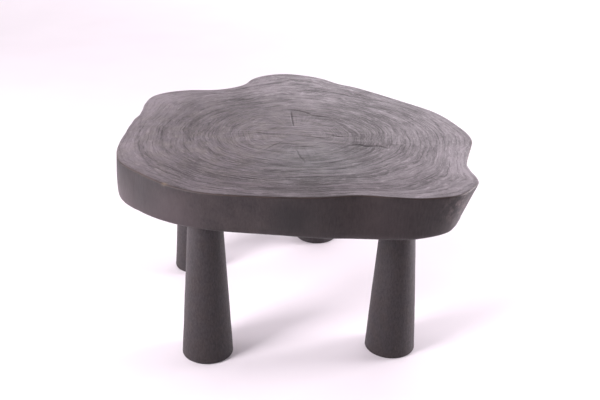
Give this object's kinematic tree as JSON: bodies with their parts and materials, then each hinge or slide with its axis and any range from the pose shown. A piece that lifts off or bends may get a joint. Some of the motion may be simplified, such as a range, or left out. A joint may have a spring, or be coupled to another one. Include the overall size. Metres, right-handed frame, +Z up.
{
  "type": "coffee table",
  "caption": "Low live edge coffee table: a thick black-stained slab cut across a tree trunk, natural outline kept, on turned legs that taper upwards and unscrew from its underside.",
  "frame": {"origin": "on the floor, under the centre of the table's bounding box", "axes": "+Z up, +X to the table's right as the picture shows it, +Y from the front edge to the back lobe"},
  "size_m": [0.77, 0.826, 0.42],
  "materials": {
    "slab_wood": "black stain on sanded end grain, satin",
    "leg_wood": "black stain on turned wood, satin",
    "bolt_steel": "zinc plated",
    "insert_brass": "turned"
  },
  "bodies": {
    "root": {"slab_top": "slab_wood", "leg_front_left": "leg_wood", "leg_front_right": "leg_wood", "leg_back_left": "leg_wood", "leg_back_right": "leg_wood", "hanger_bolt_front_left": "bolt_steel", "hanger_bolt_front_right": "bolt_steel", "hanger_bolt_back_left": "bolt_steel", "hanger_bolt_back_right": "bolt_steel", "threaded_insert_front_left": "insert_brass", "threaded_insert_front_right": "insert_brass", "threaded_insert_back_left": "insert_brass", "threaded_insert_back_right": "insert_brass"}
  },
  "joints": []
}
